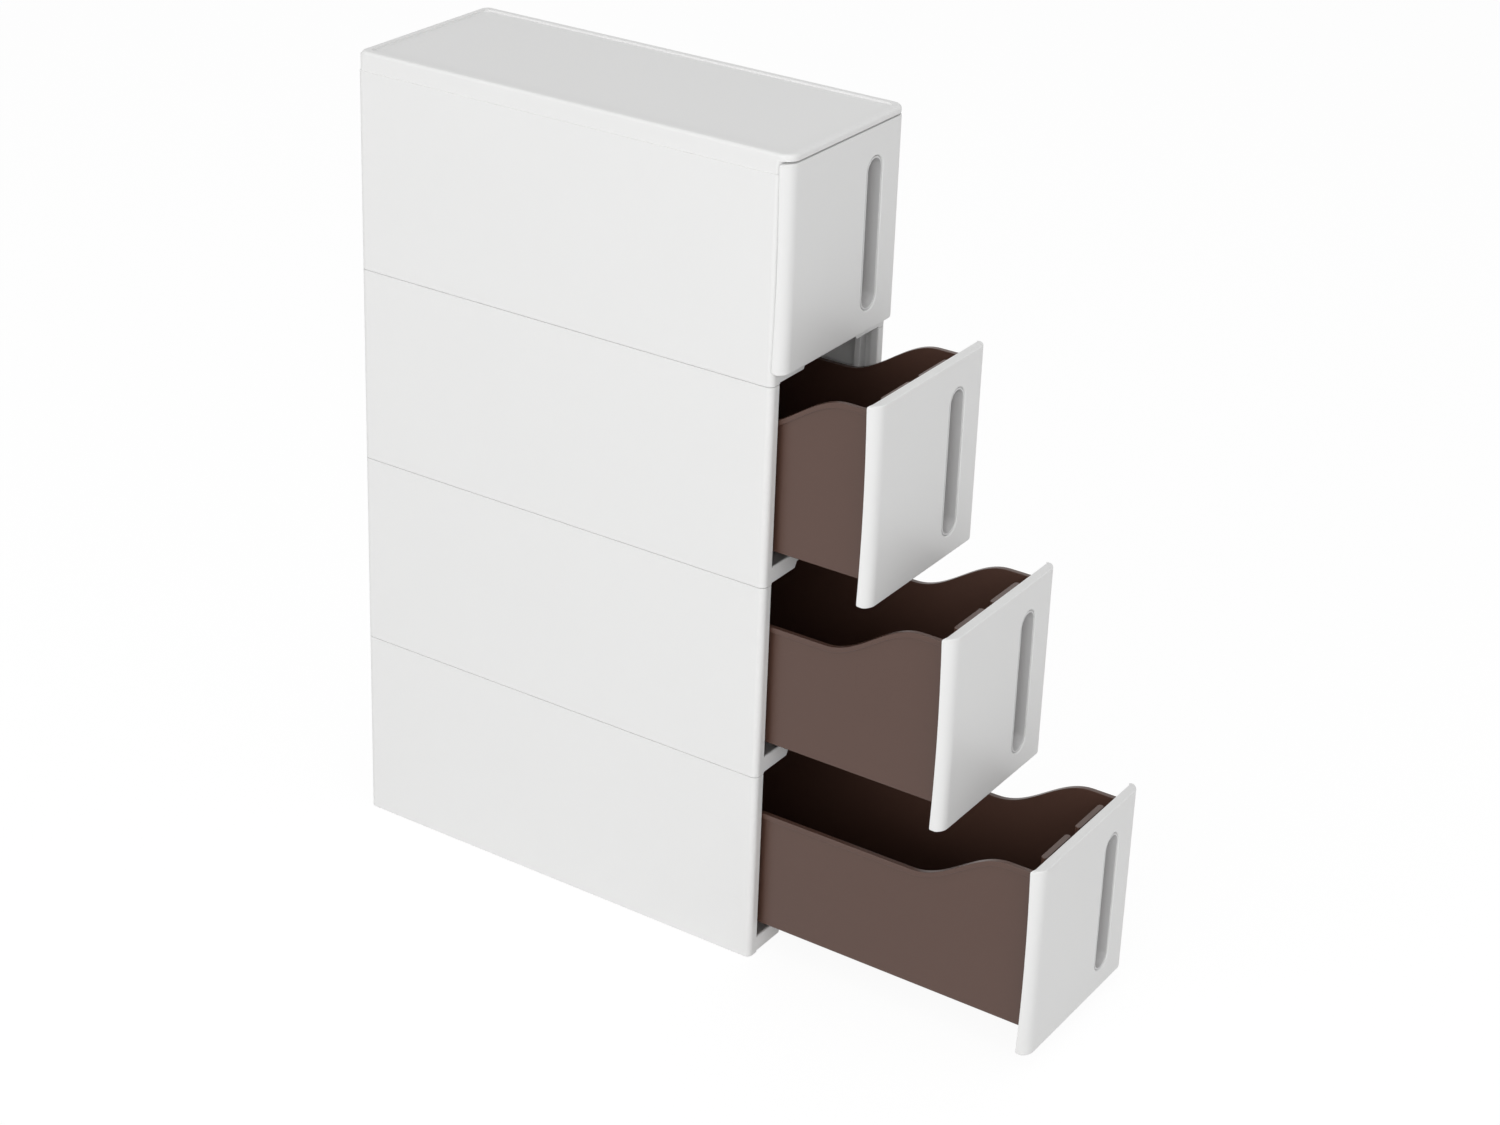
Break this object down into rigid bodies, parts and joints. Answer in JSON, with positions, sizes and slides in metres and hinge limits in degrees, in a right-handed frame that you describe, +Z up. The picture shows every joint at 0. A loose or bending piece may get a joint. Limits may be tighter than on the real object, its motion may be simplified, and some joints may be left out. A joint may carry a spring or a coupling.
{
  "type": "plastic drawer tower",
  "caption": "Tall narrow plastic storage tower of stacked case tiers under a flat cover, with deep sliding drawers that each have a curved rim and an upright finger slot.",
  "frame": {"origin": "middle of the case's base, on the plane it stands on", "axes": "+Z up, drawers slide out towards -Y, +X to the right seen from the front"},
  "size_m": [0.185, 0.7405, 0.778],
  "materials": {
    "case_white": "satin moulded, smooth",
    "front_white": "satin moulded, smooth",
    "tub_brown": "glossy, dark and slightly see-through at thin edges",
    "grip_grey": "fine matt"
  },
  "bodies": {
    "case": {"top_cover": "case_white", "case_tier_1": "case_white", "case_tier_2": "case_white", "case_tier_3": "case_white", "case_tier_4": "case_white"},
    "drawer_1": {"drawer_tub_1": "tub_brown", "drawer_front_1": "front_white", "finger_grip_1": "grip_grey"},
    "drawer_2": {"drawer_tub_2": "tub_brown", "drawer_front_2": "front_white", "finger_grip_2": "grip_grey"},
    "drawer_3": {"drawer_tub_3": "tub_brown", "drawer_front_3": "front_white", "finger_grip_3": "grip_grey"},
    "drawer_4": {"drawer_tub_4": "tub_brown", "drawer_front_4": "front_white", "finger_grip_4": "grip_grey"}
  },
  "joints": [
    {"name": "drawer_1_slide", "type": "slide", "parent": "case", "child": "drawer_1", "axis": [0, -1, 0], "range_m": [-0.28, 0.04]},
    {"name": "drawer_2_slide", "type": "slide", "parent": "case", "child": "drawer_2", "axis": [0, -1, 0], "range_m": [-0.18, 0.14]},
    {"name": "drawer_3_slide", "type": "slide", "parent": "case", "child": "drawer_3", "axis": [0, -1, 0], "range_m": [-0.095, 0.225]},
    {"name": "drawer_4_slide", "type": "slide", "parent": "case", "child": "drawer_4", "axis": [0, -1, 0], "range_m": [0, 0.32]}
  ]
}
